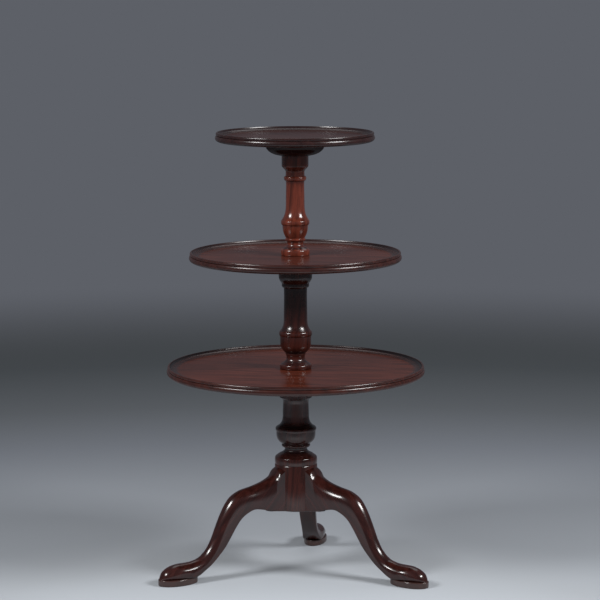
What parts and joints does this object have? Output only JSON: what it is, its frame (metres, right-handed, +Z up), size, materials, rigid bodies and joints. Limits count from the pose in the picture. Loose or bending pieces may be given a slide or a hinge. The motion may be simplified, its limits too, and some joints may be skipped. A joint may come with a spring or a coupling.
{
  "type": "dumbwaiter table",
  "caption": "Dumb-waiter table: dished round tiers, smaller towards the top, that turn on a baluster column standing on cabriole legs with pad feet.",
  "frame": {"origin": "on the floor, in the middle of the table's rectangular footprint, 6 mm behind the column axis", "axes": "+Z up along the column; -Y towards the front, between the left and right legs; the rear leg points 7.5 degrees to the right of +Y"},
  "size_m": [0.6322, 0.6232, 1.0485],
  "materials": {
    "mahogany_column": "French-polished mahogany, dark red-brown, glossy",
    "mahogany_board": "French-polished mahogany board, red-brown, glossy",
    "mahogany_leg": "French-polished mahogany, dark, glossy",
    "mahogany_boss": "dark mahogany, satin",
    "blackened_iron": "blackened wrought iron, matt"
  },
  "bodies": {
    "stand": {"lower_column": "mahogany_column", "middle_column": "mahogany_column", "upper_column": "mahogany_column", "leg_rear": "mahogany_leg", "leg_left": "mahogany_leg", "leg_right": "mahogany_leg", "leg_brace": "blackened_iron", "brace_screw_middle": "blackened_iron", "brace_screw_rear_inner": "blackened_iron", "brace_screw_rear_outer": "blackened_iron", "brace_screw_left_inner": "blackened_iron", "brace_screw_left_outer": "blackened_iron", "brace_screw_right_inner": "blackened_iron", "brace_screw_right_outer": "blackened_iron"},
    "lower_turntable": {"lower_tier": "mahogany_board", "lower_tier_boss": "mahogany_boss", "lower_tier_screw_1": "blackened_iron", "lower_tier_screw_2": "blackened_iron", "lower_tier_screw_3": "blackened_iron", "lower_tier_screw_4": "blackened_iron"},
    "middle_turntable": {"middle_tier": "mahogany_board", "middle_tier_boss": "mahogany_boss", "middle_tier_screw_1": "blackened_iron", "middle_tier_screw_2": "blackened_iron", "middle_tier_screw_3": "blackened_iron", "middle_tier_screw_4": "blackened_iron"},
    "top_turntable": {"top_tier": "mahogany_board", "top_tier_boss": "mahogany_boss", "top_tier_screw_1": "blackened_iron", "top_tier_screw_2": "blackened_iron", "top_tier_screw_3": "blackened_iron", "top_tier_screw_4": "blackened_iron"}
  },
  "joints": [
    {"name": "lower_tier_turn", "type": "hinge", "parent": "stand", "child": "lower_turntable", "pos_m": [0, -0.00563, 0.473], "axis": [0, 0, 1], "continuous": true},
    {"name": "middle_tier_turn", "type": "hinge", "parent": "stand", "child": "middle_turntable", "pos_m": [0, -0.00563, 0.744], "axis": [0, 0, 1], "continuous": true},
    {"name": "top_tier_turn", "type": "hinge", "parent": "stand", "child": "top_turntable", "pos_m": [0, -0.00563, 1.0265], "axis": [0, 0, 1], "continuous": true}
  ]
}
